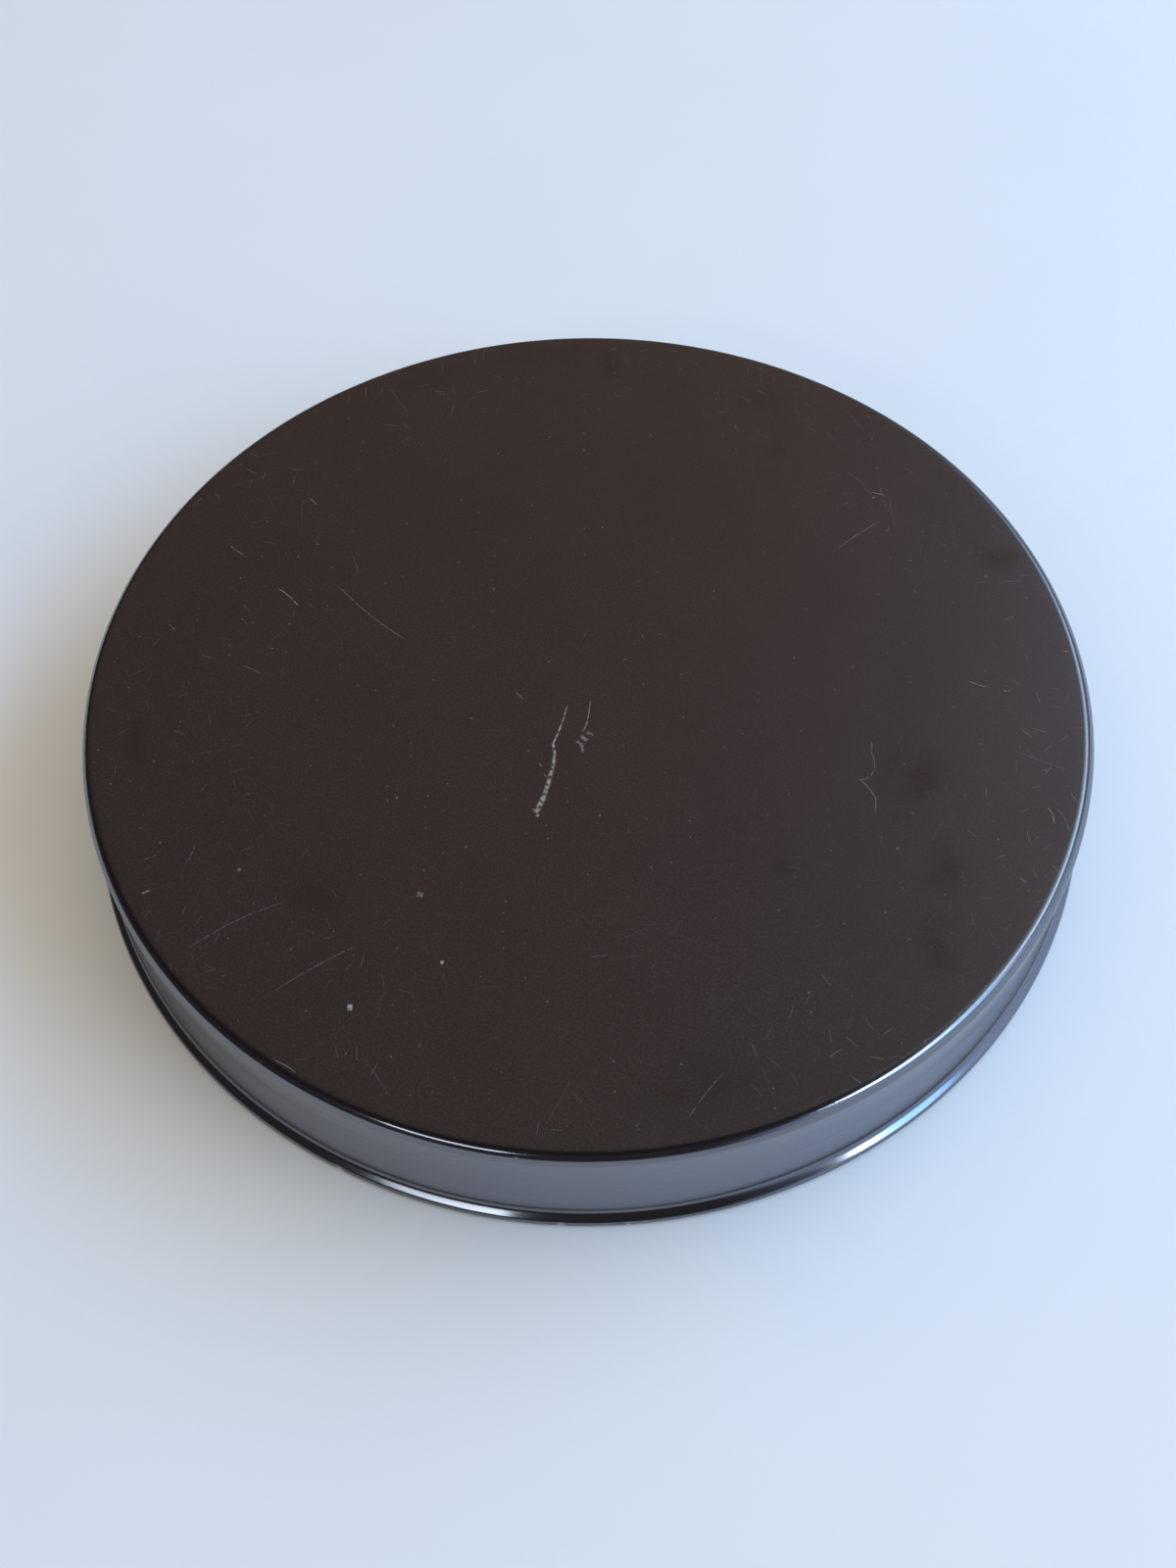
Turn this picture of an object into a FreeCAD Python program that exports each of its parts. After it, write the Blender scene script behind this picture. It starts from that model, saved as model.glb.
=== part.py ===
import FreeCAD, Part
import math
import os

from FreeCAD import Vector

# A round moulded can that keeps one reel of 16 mm cine film: a base tray, a slip-over lid, and the
# loaded sheet-steel reel that lies between them. Millimetres, +Z up, and the origin is on the table
# under the can's centre.

# Reel
reel_radius = 88.9  # seven inches across
flange_sheet = 0.8
rolled_edge_radius = 0.75
window_count = 4
window_half_angle = 33.0  # degrees, each side of a window's middle
window_corner_radius = 7.0
window_hub_band = 10.0  # flange left between the drum and a window
window_edge_band = 12.9  # flange left between a window and the reel's edge
rib_hub_gap = 5.0  # between a drum tab's end and the rib's end centre
rib_edge_band = 8.9  # between the rib's other end centre and the reel's edge
rib_press_radius = 2.0
rib_height = 0.6  # above the flange's outer face
rib_sheet = 0.7  # metal left over the rib's hollow

# Hub
drum_radius = 27.0
drum_sheet = 0.6
film_slot_width = 2.5
drum_tab_width = 6.0
drum_tab_length = 4.0  # the bent part, measured outward from the drum
hub_fit = 0.05  # play of tabs, necks and rivets in their holes
spindle_hole_radius = 4.05
spindle_square_side = 8.1
neck_radius = 7.0
neck_stand = 0.6  # above the flange's outer face
bushing_plate = 1.2
rivet_count = 4
rivet_radius = 1.0
rivet_head_radius = 1.8
rivet_head_height = 0.55
rivet_land = 3.5  # from a rivet's centre to the neck, and to the bushing's edge

# Film
film_width = 16.0
film_side_play = 0.3  # between the film and each flange
film_edge_band = 3.95  # flange left outside the last turn
wrap_gap = 0.05  # between one wound piece and the next
tail_thickness = 1.2
tail_strip_thickness = 0.3
tail_strip_reach = 5.0  # how far the strip's end goes in through the drum's slot
head_thickness = 1.3
tape_thickness = 0.25
tape_half_angle = 7.0  # degrees
tape_middle_angle = -90.0  # degrees

# Can
tray_wall = 2.0
tray_floor = 2.0
skirt_wall = 2.0
lid_top_wall = 2.0
reel_side_play = 1.8  # between the reel's edge and the tray's wall
reel_rest_gap = 0.2  # between the reel's rolled edge and the tray's floor
head_room = 0.7  # between the reel and the lid
slip_clearance = 0.3  # between the lid's skirt and the tray's wall
foot_height = 0.5  # hollow under the tray, inside its foot ring
foot_width = 8.0
tray_foot_radius = 1.0
tray_corner_radius = 1.2  # inside, between floor and wall
tray_lip_bevel = 0.4  # on the lip's inner edge
lid_edge_radius = 2.5  # round between the lid's top face and its skirt
lid_corner_radius = 0.5  # inside, between the lid's top and its skirt
rim_reach = 2.8  # how far the rim at the skirt's foot stands out
rim_roll_level = 1.1  # table to where the rim's roll turns upright
rim_roll_radius = 0.9
rim_slope_length = 1.0  # straight part above the roll
rim_hollow_radius = 1.5  # between the skirt's long flare and the slope
rim_tilt = 54.0  # degrees; how far the slope leans back
flare_tilt = 10.0  # degrees; how far the surface leans back where the flare ends
rim_corner = 0.3  # small round under the rim
rim_above_table = 0.4  # the tray carries the can, so the rim hangs just clear
skirt_lead_in = 0.5  # bevel that guides the skirt over the tray

# Radii that follow, from the hub outward
drum_bore = drum_radius - drum_sheet
rivet_circle_radius = neck_radius + rivet_land
bushing_radius = rivet_circle_radius + rivet_land
window_inner_radius = drum_radius + window_hub_band
window_outer_radius = reel_radius - window_edge_band
rib_inner_radius = drum_radius + drum_tab_length + rib_hub_gap
rib_outer_radius = reel_radius - rib_edge_band
tail_bore = drum_radius + wrap_gap
tail_radius = tail_bore + tail_thickness
head_radius = reel_radius - film_edge_band
head_bore = head_radius - head_thickness
tray_bore = reel_radius + reel_side_play
tray_radius = tray_bore + tray_wall
tray_lip_radius = lid_corner_radius + slip_clearance
skirt_bore = tray_radius + slip_clearance
lid_radius = skirt_bore + skirt_wall

# Levels that follow, from the table up
floor_top = foot_height + tray_floor
lower_face = floor_top + reel_rest_gap + 2 * rolled_edge_radius
film_bottom = lower_face + film_side_play
upper_face = film_bottom + film_width + film_side_play
lid_underside = upper_face + 2 * rolled_edge_radius + head_room
lid_top = lid_underside + lid_top_wall

spoke_count = window_count
first_spoke = 180.0 / spoke_count  # degrees; the first window is centred on zero
through = 10 * flange_sheet  # length of a cutter that passes right through a flange

UP = Vector(0, 0, 1)
ACROSS = Vector(1, 0, 0)
CENTRE = Vector(0, 0, 0)


class Outline:
    """A half section in radius and height, drawn corner by corner and then turned round the Z axis."""

    def __init__(self, radius, height):
        self.points = [Vector(radius, 0, height)]
        self.edges = []

    def line(self, radius, height):
        end = Vector(radius, 0, height)
        self.edges.append(Part.makeLine(self.points[-1], end))
        self.points.append(end)
        return self

    def arc(self, centre_radius, centre_height, radius, height):
        """The shorter arc about a centre, to the given end."""
        centre = Vector(centre_radius, 0, centre_height)
        start = self.points[-1]
        end = Vector(radius, 0, height)
        middle = (start - centre) + (end - centre)
        middle.normalize()
        middle = centre + middle * (end - centre).Length
        self.edges.append(Part.Arc(start, middle, end).toShape())
        self.points.append(end)
        return self

    def turned(self):
        first = self.points[0]
        self.line(first.x, first.z)
        return Part.Face(Part.Wire(self.edges)).revolve(CENTRE, UP, 360)


def ring(inner_radius, outer_radius, bottom, top):
    outline = Outline(inner_radius, bottom)
    outline.line(outer_radius, bottom).line(outer_radius, top).line(inner_radius, top)
    return outline.turned()


def turned_by(shape, degrees):
    copy = shape.copy()
    copy.rotate(CENTRE, UP, degrees)
    return copy


def around(shape, count, first_angle=0.0):
    """Equal copies of a shape, evenly spaced round the Z axis."""
    return [turned_by(shape, first_angle + index * 360.0 / count) for index in range(count)]


def block(radius, length, width, bottom, height):
    """A box that starts at a radius on the X axis, runs outward and is centred across."""
    return Part.makeBox(length, width, height, Vector(radius, -width / 2, bottom))


def on_upper_side(shape):
    """Takes a piece drawn on a flange whose inner face is at zero to the upper flange's place."""
    return shape.translated(Vector(0, 0, upper_face))


def on_lower_side(shape):
    """The same for the lower flange, which is the upper one turned over."""
    copy = shape.copy()
    copy.rotate(CENTRE, ACROSS, 180)
    return copy.translated(Vector(0, 0, lower_face))


def leaning(length, degrees):
    """A step in a half section: outward at no angle, and straight up at 90 degrees."""
    angle = math.radians(degrees)
    return Vector(length * math.cos(angle), 0, length * math.sin(angle))


def lid():
    """Pan with a flat top, a rounded edge, and a skirt that flares out to a rolled rim at its foot."""
    rim_radius = lid_radius + rim_reach
    edge_centre = lid_radius - lid_edge_radius
    edge_level = lid_top - lid_edge_radius
    corner_centre = skirt_bore - lid_corner_radius
    corner_level = lid_underside - lid_corner_radius
    roll_centre = Vector(rim_radius - rim_roll_radius, 0, rim_roll_level)
    roll_start = roll_centre + leaning(rim_roll_radius, rim_tilt)
    slope_start = roll_start + leaning(rim_slope_length, rim_tilt + 90)
    hollow_centre = slope_start + leaning(rim_hollow_radius, rim_tilt)
    hollow_start = hollow_centre - leaning(rim_hollow_radius, flare_tilt)
    flare_radius = (hollow_start.x - lid_radius) / (1 - math.cos(math.radians(flare_tilt)))
    flare_centre = hollow_start + leaning(flare_radius, flare_tilt)
    outline = Outline(0, lid_underside).line(0, lid_top).line(edge_centre, lid_top)
    outline.arc(edge_centre, edge_level, lid_radius, edge_level)
    outline.line(lid_radius, flare_centre.z)
    outline.arc(flare_centre.x, flare_centre.z, hollow_start.x, hollow_start.z)
    outline.arc(hollow_centre.x, hollow_centre.z, slope_start.x, slope_start.z)
    outline.line(roll_start.x, roll_start.z)
    outline.arc(roll_centre.x, roll_centre.z, rim_radius, roll_centre.z)
    outline.line(rim_radius, rim_above_table + rim_corner)
    outline.arc(rim_radius - rim_corner, rim_above_table + rim_corner,
                rim_radius - rim_corner, rim_above_table)
    outline.line(skirt_bore + skirt_lead_in, rim_above_table)
    outline.line(skirt_bore, rim_above_table + skirt_lead_in)
    outline.line(skirt_bore, corner_level)
    outline.arc(corner_centre, corner_level, corner_centre, lid_underside)
    return outline.turned()


def base_tray():
    """Pan that carries the can: its lip meets the lid's underside and its foot ring the table."""
    foot_inner = tray_radius - tray_foot_radius - foot_width
    lip_centre = tray_radius - tray_lip_radius
    lip_level = lid_underside - tray_lip_radius
    floor_end = tray_bore - tray_corner_radius
    outline = Outline(0, foot_height).line(foot_inner - foot_height, foot_height).line(foot_inner, 0)
    outline.line(tray_radius - tray_foot_radius, 0)
    outline.arc(tray_radius - tray_foot_radius, tray_foot_radius, tray_radius, tray_foot_radius)
    outline.line(tray_radius, lip_level)
    outline.arc(lip_centre, lip_level, lip_centre, lid_underside)
    outline.line(tray_bore + tray_lip_bevel, lid_underside)
    outline.line(tray_bore, lid_underside - tray_lip_bevel)
    outline.line(tray_bore, floor_top + tray_corner_radius)
    outline.arc(floor_end, floor_top + tray_corner_radius, floor_end, floor_top)
    outline.line(0, floor_top)
    return outline.turned()


def flange_disc():
    """Sheet disc whose edge is rolled outward, away from the film."""
    roll_centre = reel_radius - rolled_edge_radius
    roll_side = math.sqrt(rolled_edge_radius ** 2 - (flange_sheet - rolled_edge_radius) ** 2)
    outline = Outline(0, 0).line(roll_centre, 0)
    outline.arc(roll_centre, rolled_edge_radius, reel_radius, rolled_edge_radius)
    outline.arc(roll_centre, rolled_edge_radius, roll_centre, 2 * rolled_edge_radius)
    outline.arc(roll_centre, rolled_edge_radius, roll_centre - roll_side, flange_sheet)
    outline.line(0, flange_sheet)
    return outline.turned()


def window():
    """Cutter for one opening with rounded corners, centred on the X axis."""
    def point(radius, degrees):
        angle = math.radians(degrees)
        return Vector(radius * math.cos(angle), radius * math.sin(angle), -through / 2)

    def arc(radius, start, end):
        middle = point(radius, (start + end) / 2)
        return Part.Arc(point(radius, start), middle, point(radius, end)).toShape()

    half = window_half_angle
    sides = [arc(window_inner_radius, -half, half),
             Part.makeLine(point(window_inner_radius, half), point(window_outer_radius, half)),
             arc(window_outer_radius, half, -half),
             Part.makeLine(point(window_outer_radius, -half), point(window_inner_radius, -half))]
    cutter = Part.Face(Part.Wire(sides)).extrude(Vector(0, 0, through))
    uprights = [edge for edge in cutter.Edges
                if abs(edge.Vertexes[0].Z - edge.Vertexes[-1].Z) > through / 2]
    return cutter.makeFillet(window_corner_radius, uprights)


def rib(press_radius, level):
    """A round-ended bar along the X axis, for the outside or the hollow of a pressed rib."""
    bar = Part.makeCylinder(press_radius, rib_outer_radius - rib_inner_radius,
                            Vector(rib_inner_radius, 0, level), ACROSS)
    ends = [Part.makeSphere(press_radius, Vector(radius, 0, level))
            for radius in (rib_inner_radius, rib_outer_radius)]
    return bar.fuse(ends)


def rivet_places(shape):
    """A rivet, or its hole, at each place round the spindle, between the drum's tabs."""
    return around(shape.translated(Vector(rivet_circle_radius, 0, 0)), rivet_count)


def rivet_holes():
    return rivet_places(Part.makeCylinder(rivet_radius + hub_fit, through, Vector(0, 0, -through / 2)))


def drum_tab_slots():
    """Openings in a flange that the drum's tabs pass through."""
    wall = ring(drum_bore - hub_fit, drum_radius + hub_fit, -through / 2, through / 2)
    width = drum_tab_width + 2 * hub_fit
    keeper = block(drum_bore / 2, drum_radius, width, -through / 2, through)
    return around(wall.common(keeper), spoke_count, first_spoke)


def flange():
    """One side of the reel, inner face at zero: windows, pressed ribs between them, hub openings."""
    rib_level = flange_sheet + rib_height - rib_press_radius
    outer_half = Part.makeCylinder(reel_radius, through)
    bump = rib(rib_press_radius, rib_level).common(outer_half)
    bumps = around(bump, spoke_count, first_spoke)
    hollows = around(rib(rib_press_radius - rib_sheet, rib_level), spoke_count, first_spoke)
    neck_hole = Part.makeCylinder(neck_radius + hub_fit, through, Vector(0, 0, -through / 2))
    cutters = around(window(), window_count) + hollows + rivet_holes() + drum_tab_slots() + [neck_hole]
    return flange_disc().fuse(bumps).cut(cutters)


def hub_drum():
    """Sheet wound into a drum, with the film's slot left open and tabs clinched over both flanges."""
    wall = ring(drum_bore, drum_radius, lower_face, upper_face)
    slot = block(drum_bore / 2, drum_radius, film_slot_width, lower_face, upper_face - lower_face)
    pieces = [wall.cut(slot)]
    stub = ring(drum_bore, drum_radius, 0, flange_sheet)
    stub = stub.common(block(drum_bore / 2, drum_radius, drum_tab_width, 0, flange_sheet))
    bent = block(drum_bore, drum_sheet + drum_tab_length, drum_tab_width, flange_sheet, drum_sheet)
    tab = stub.fuse(bent)
    for one_tab in around(tab, spoke_count, first_spoke):
        pieces.append(on_upper_side(one_tab))
        pieces.append(on_lower_side(one_tab))
    return pieces[0].fuse(pieces[1:]).removeSplitter()


def spindle_bushing(hole):
    """Plate behind the flange with a neck that fills the flange's middle and holds the spindle."""
    plate = Part.makeCylinder(bushing_radius, bushing_plate, Vector(0, 0, -bushing_plate))
    neck = Part.makeCylinder(neck_radius, flange_sheet + neck_stand)
    return plate.fuse(neck).cut([hole] + rivet_holes()).removeSplitter()


def round_hole():
    return Part.makeCylinder(spindle_hole_radius, through, Vector(0, 0, -through / 2))


def square_hole():
    side = spindle_square_side
    return Part.makeBox(side, side, through, Vector(-side / 2, -side / 2, -through / 2))


def rivets():
    """Rivets through flange and bushing, domed outside and flat inside."""
    head = rivet_head_height
    dome_radius = (rivet_head_radius ** 2 + head ** 2) / (2 * head)
    outline = Outline(0, -bushing_plate - head).line(rivet_head_radius, -bushing_plate - head)
    outline.line(rivet_head_radius, -bushing_plate).line(rivet_radius, -bushing_plate)
    outline.line(rivet_radius, flange_sheet).line(rivet_head_radius, flange_sheet)
    outline.arc(0, flange_sheet + head - dome_radius, 0, flange_sheet + head)
    return Part.makeCompound(rivet_places(outline.turned()))


def wound(inner_radius, outer_radius):
    """Film or leader wound to a ring, as wide as the film."""
    return ring(inner_radius, outer_radius, film_bottom, film_bottom + film_width)


def tail_leader():
    """First turns on the drum, with the strip's end tucked in through the drum's slot."""
    inner_end = drum_bore - tail_strip_reach
    length = tail_bore + tail_thickness / 2 - inner_end
    end = block(inner_end, length, tail_strip_thickness, film_bottom, film_width)
    return wound(tail_bore, tail_radius).fuse(end).removeSplitter()


def leader_tape():
    """Short strip of tape that holds the leader's outer end down."""
    tape_bore = head_radius + wrap_gap
    band = wound(tape_bore, tape_bore + tape_thickness)
    width = 2 * head_radius * math.sin(math.radians(tape_half_angle))
    keeper = block(head_radius / 2, head_radius, width, film_bottom, film_width)
    return turned_by(band.common(keeper), tape_middle_angle)


nodes = {
    "lid": lid(),
    "base_tray": base_tray(),
    "upper_flange": on_upper_side(flange()),
    "lower_flange": on_lower_side(flange()),
    "hub_drum": hub_drum(),
    "upper_spindle_bushing": on_upper_side(spindle_bushing(round_hole())),
    "lower_spindle_bushing": on_lower_side(spindle_bushing(square_hole())),
    "upper_rivets": on_upper_side(rivets()),
    "lower_rivets": on_lower_side(rivets()),
    "film_roll": wound(tail_radius + wrap_gap, head_bore - wrap_gap),
    "tail_leader": tail_leader(),
    "head_leader": wound(head_bore, head_radius),
    "leader_tape": leader_tape(),
}

os.makedirs("parts", exist_ok=True)
for name, shape in nodes.items():
    shape.exportStep("parts/" + name + ".step")
    print(name, len(shape.Solids), "solids", round(shape.Volume / 1000, 2), "cm3", shape.isValid())
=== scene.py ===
import math
import random
from collections import namedtuple

import bpy
from mathutils import Matrix, Vector, noise
from mathutils.kdtree import KDTree


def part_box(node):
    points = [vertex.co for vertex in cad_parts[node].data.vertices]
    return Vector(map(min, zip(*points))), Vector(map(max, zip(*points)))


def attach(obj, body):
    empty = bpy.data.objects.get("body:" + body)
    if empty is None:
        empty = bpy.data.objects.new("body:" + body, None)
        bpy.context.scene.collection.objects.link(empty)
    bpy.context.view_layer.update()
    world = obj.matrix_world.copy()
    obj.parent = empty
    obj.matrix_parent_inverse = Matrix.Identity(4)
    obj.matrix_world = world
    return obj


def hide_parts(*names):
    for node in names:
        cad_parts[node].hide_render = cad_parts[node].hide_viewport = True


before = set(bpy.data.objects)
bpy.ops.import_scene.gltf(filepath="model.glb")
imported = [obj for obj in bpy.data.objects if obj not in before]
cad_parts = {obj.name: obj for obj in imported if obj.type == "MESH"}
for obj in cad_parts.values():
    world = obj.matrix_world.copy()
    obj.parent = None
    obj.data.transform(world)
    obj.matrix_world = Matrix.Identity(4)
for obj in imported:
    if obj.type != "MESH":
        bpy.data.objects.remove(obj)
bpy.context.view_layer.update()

# A moulded can with a loaded reel of cine film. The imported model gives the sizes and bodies; this
# script builds the camera, light and floor, models the can, film and leaders more finely, and gives
# every piece its material. Lengths are in millimetres until a mesh or an object is made.

MM = 0.001  # metres
TINY = 1e-6  # millimetres; less counts as nothing


def corners(node):
    """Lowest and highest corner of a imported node, in millimetres."""
    low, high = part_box(node)
    return low / MM, high / MM


lid_low, lid_high = corners("lid")
tray_high = corners("base_tray")[1]
reel_high = corners("upper_flange")[1]
film_low, film_high = corners("film_roll")
head_low, head_high = corners("head_leader")
tail_high = corners("tail_leader")[1]
tape_low, tape_high = corners("leader_tape")

# Camera, as fitted to the photograph's outlines
photo_width = 1200  # pixels
photo_height = 1600  # pixels
focal_length = 1500  # photo pixels
sensor_side = 36.0
camera_distance = 300.0  # to the middle of the can's foot
camera_elevation = 55.84  # degrees
camera_pan = -0.02  # degrees, to the right
camera_tilt = -1.49  # degrees, up
camera_roll = -0.75  # degrees
camera_near = 10.0  # nothing nearer than this is drawn

# Can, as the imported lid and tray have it. The rim's section runs down from the skirt as a long flare,
# a hollow, a straight slope and a roll.
lid_top = lid_high.z
rim_radius = lid_high.x
rim_bottom = lid_low.z
rim_reach = 2.8  # how far the rim stands out from the skirt
rim_corner = 0.3
roll_level = 1.1  # where the roll turns upright
rim_roll_radius = 0.9
rim_slope_length = 1.0
rim_hollow_radius = 1.5
rim_tilt = 54  # degrees; how far the slope leans back
flare_tilt = 10  # degrees; how far the flare leans back where it ends
lid_radius = rim_radius - rim_reach
lid_edge_radius = 2.5
lid_corner_radius = 0.5
lid_wall = 2.0
lid_underside = tray_high.z
skirt_bore = lid_radius - lid_wall
skirt_lead_in = 0.5
reel_radius = reel_high.x
tray_wall = 2.0
tray_radius = tray_high.x
tray_bore = tray_radius - tray_wall
tray_foot = 0.5
tray_foot_width = 8.0
tray_floor_top = tray_foot + tray_wall
tray_foot_radius = 1.0
tray_lip_radius = 0.8
tray_lip_bevel = 0.4
tray_corner_radius = 1.2

# Wound film, its leader and the tape over the leader's end
ring_gap = 0.05  # between one wound ring and the next piece
tape_columns = 120
tape_rows = 24
wrinkle_depth = 0.12
wrinkles_per_radian = 260
wrinkles_per_height = 0.35

# Mesh fineness, in steps round the can
can_segments = 1080
film_segments = 512

# Room: fill colours light the matt surfaces, and mirrored ones show in the gloss
lamp_distance = 2.4  # metres
fill_ceiling = (1.05, 0.95, 0.76, 1)
fill_upper = (0.68, 0.56, 0.46, 1)
fill_walls = (0.62, 0.55, 0.44, 1)
room_dark = (0.045, 0.040, 0.045, 1)
mirrored_ceiling = (0.30, 0.26, 0.17, 1)
mirrored_back = (0.52, 0.32, 0.23, 1)
mirrored_back_left = (0.24, 0.19, 0.16, 1)
mirrored_garden = (0.75, 0.92, 1.35, 1)
dark_direction = (0, -0.62, 0.785)  # towards the camera, where the room is dark
backdrop = (0.62, 0.70, 0.80, 1)

# Table top
table_side = 16.0  # metres
table_dim = (0.78, 0.80, 0.815, 1)
table_bright = (0.80, 0.82, 0.835, 1)
table_index = 1.35

# Resin, from unworn to broken
resin_skin = (0.0105, 0.0080, 0.0088, 1)
resin_worn = (0.0215, 0.0112, 0.0092, 1)
resin_grain = (0.060, 0.042, 0.036, 1)
# painted reflection: a pale bluish colour that stands in for the table mirrored in the lid's skirt
painted_skirt_reflection = (0.052, 0.050, 0.072, 1)
resin_pale = (0.33, 0.31, 0.30, 1)
resin_broken = (0.20, 0.15, 0.125, 1)
satin_index = 1.5
gloss_index = 2.6
gloss_tint = (0.87, 0.90, 1.0, 1)

# Metals, film, leader and tape
flange_grey = (0.53, 0.525, 0.51, 1)
drum_grey = (0.47, 0.465, 0.455, 1)
bushing_grey = (0.38, 0.38, 0.38, 1)
steel_scratch = (0.8, 0.8, 0.8, 1)
rust_brown = (0.16, 0.075, 0.035, 1)
brass_bright = (0.62, 0.44, 0.19, 1)
brass_tarnished = (0.30, 0.19, 0.085, 1)
film_dark = (0.020, 0.018, 0.021, 1)
film_grey = (0.055, 0.046, 0.043, 1)
film_pale_turn = (0.13, 0.115, 0.11, 1)
film_dust = (0.4, 0.38, 0.35, 1)
leader_white = (0.72, 0.70, 0.64, 1)
leader_aged = (0.62, 0.57, 0.46, 1)
leader_turn = (0.34, 0.31, 0.27, 1)
leader_dirt = (0.28, 0.24, 0.2, 1)
tape_light = (0.66, 0.54, 0.33, 1)
tape_dark = (0.52, 0.39, 0.21, 1)
film_index = 1.5


class Wire:
    """The output of a shader node. Arithmetic on it adds a Math node to the same tree."""

    def __init__(self, tree, socket):
        self.tree = tree
        self.socket = socket

    def __add__(self, other):
        return self.tree.math("ADD", self, other)

    def __sub__(self, other):
        return self.tree.math("SUBTRACT", self, other)

    def __rsub__(self, other):
        return self.tree.math("SUBTRACT", other, self)

    def __mul__(self, other):
        return self.tree.math("MULTIPLY", self, other)

    def __truediv__(self, other):
        return self.tree.math("DIVIDE", self, other)

    def __rtruediv__(self, other):
        return self.tree.math("DIVIDE", other, self)

    def __pow__(self, other):
        return self.tree.math("POWER", self, other)

    def __abs__(self):
        return self.tree.math("ABSOLUTE", self)

    def most(self, other):
        return self.tree.math("MAXIMUM", self, other)

    def below(self, other):
        return self.tree.math("LESS_THAN", self, other)

    def smooth(self, low, high):
        """Rises from 0 at low to 1 at high, or falls where low is the larger."""
        return self.tree.ranged(self, low, high, 0.0, 1.0)


class Tree:
    """A material's, group's or world's node tree, with a short call for each kind of node used here."""

    def __init__(self, node_tree):
        self.nodes = node_tree.nodes
        self.links = node_tree.links
        self.nodes.clear()

    def feed(self, socket, value):
        if isinstance(value, Wire):
            self.links.new(value.socket, socket)
        else:
            socket.default_value = value

    def node(self, kind, inputs, **settings):
        made = self.nodes.new("ShaderNode" + kind)
        for name, value in settings.items():
            setattr(made, name, value)
        for name, value in inputs.items():
            self.feed(made.inputs[name], value)
        return made

    def wire(self, node, output=0):
        return Wire(self, node.outputs[output])

    def math(self, operation, first, second=0.0):
        return self.wire(self.node("Math", {0: first, 1: second}, operation=operation))

    def ranged(self, value, low, high, to_low, to_high):
        inputs = {"Value": value, "From Min": low, "From Max": high, "To Min": to_low, "To Max": to_high}
        return self.wire(self.node("MapRange", inputs, interpolation_type="SMOOTHSTEP"))

    def place(self):
        """The point's own place on its piece, in millimetres."""
        metres = self.wire(self.node("TexCoord", {}), "Object")
        return self.stretched(metres, (1 / MM, 1 / MM, 1 / MM))

    def carried(self, name, output="Vector"):
        """A vector, or with Fac a number, that the mesh carries as an attribute."""
        return self.wire(self.node("Attribute", {}, attribute_name=name), output)

    def stretched(self, vector, factors):
        return self.wire(self.node("VectorMath", {0: vector, 1: factors}, operation="MULTIPLY"))

    def difference(self, first, second):
        return self.wire(self.node("VectorMath", {0: first, 1: second}, operation="SUBTRACT"))

    def split(self, vector):
        node = self.node("SeparateXYZ", {0: vector})
        return [self.wire(node, axis) for axis in range(3)]

    def join(self, x, y, z):
        return self.wire(self.node("CombineXYZ", {0: x, 1: y, 2: z}))

    def noise(self, vector, size, detail=2.0, roughness=0.5):
        """Soft noise about 0.5 whose lumps are about that many millimetres."""
        inputs = {"Vector": vector, "Scale": 1 / size, "Detail": detail, "Roughness": roughness}
        return self.wire(self.node("TexNoise", inputs))

    def cells(self, vector, size):
        """Random cells of about that many millimetres: a node with Distance, Color and Position."""
        return self.node("TexVoronoi", {"Vector": vector, "Scale": 1 / size}, voronoi_dimensions="2D")

    def mixed(self, share, first, second):
        node = self.node("Mix", {0: share, 6: first, 7: second}, data_type="RGBA")
        return self.wire(node, 2)

    def bump(self, height, depth, strength=1.0):
        """Turns a height of 0 to 1 into a bump of that many millimetres."""
        inputs = {"Height": height, "Distance": depth * MM, "Strength": strength}
        return self.wire(self.node("Bump", inputs), "Normal")


def painted(name, paint):
    """A material whose Principled shader gets what paint(tree) returns: socket name to value or wire."""
    material = bpy.data.materials.new(name)
    material.use_nodes = True
    tree = Tree(material.node_tree)
    shader = tree.node("BsdfPrincipled", paint(tree))
    tree.node("OutputMaterial", {"Surface": tree.wire(shader)})
    return material


def shader_group(name, inputs, outputs):
    """An empty shader group, its tree, and a wire for each of its inputs."""
    group = bpy.data.node_groups.new(name, "ShaderNodeTree")
    for side, sockets in {"INPUT": inputs, "OUTPUT": outputs}.items():
        for socket, kind in sockets.items():
            group.interface.new_socket(socket, in_out=side, socket_type="NodeSocket" + kind)
    tree = Tree(group)
    given = tree.nodes.new("NodeGroupInput")
    return group, tree, [Wire(tree, given.outputs[socket]) for socket in inputs]


def close_group(tree, results):
    ends = tree.nodes.new("NodeGroupOutput")
    for name, value in results.items():
        tree.feed(ends.inputs[name], value)


def placed(name, data):
    """A new object in the scene."""
    made = bpy.data.objects.new(name, data)
    bpy.context.scene.collection.objects.link(made)
    return made


def make_camera():
    """The photograph's camera: it looks at the can's foot, then is panned, tilted and rolled a little."""
    elevation = math.radians(camera_elevation)
    back = Vector((0, -math.cos(elevation), math.sin(elevation)))
    turn = (Matrix.Rotation(math.radians(90 - camera_elevation), 3, "X")
            @ Matrix.Rotation(math.radians(-camera_pan), 3, "Y")
            @ Matrix.Rotation(math.radians(camera_tilt), 3, "X")
            @ Matrix.Rotation(math.radians(camera_roll), 3, "Z"))
    camera = placed("camera", bpy.data.cameras.new("camera"))
    camera.data.sensor_width = sensor_side
    camera.data.lens = sensor_side * focal_length / photo_height
    camera.data.clip_start = camera_near * MM
    camera.matrix_world = Matrix.Translation(back * camera_distance * MM) @ turn.to_4x4()
    bpy.context.scene.camera = camera
    return camera


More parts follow.
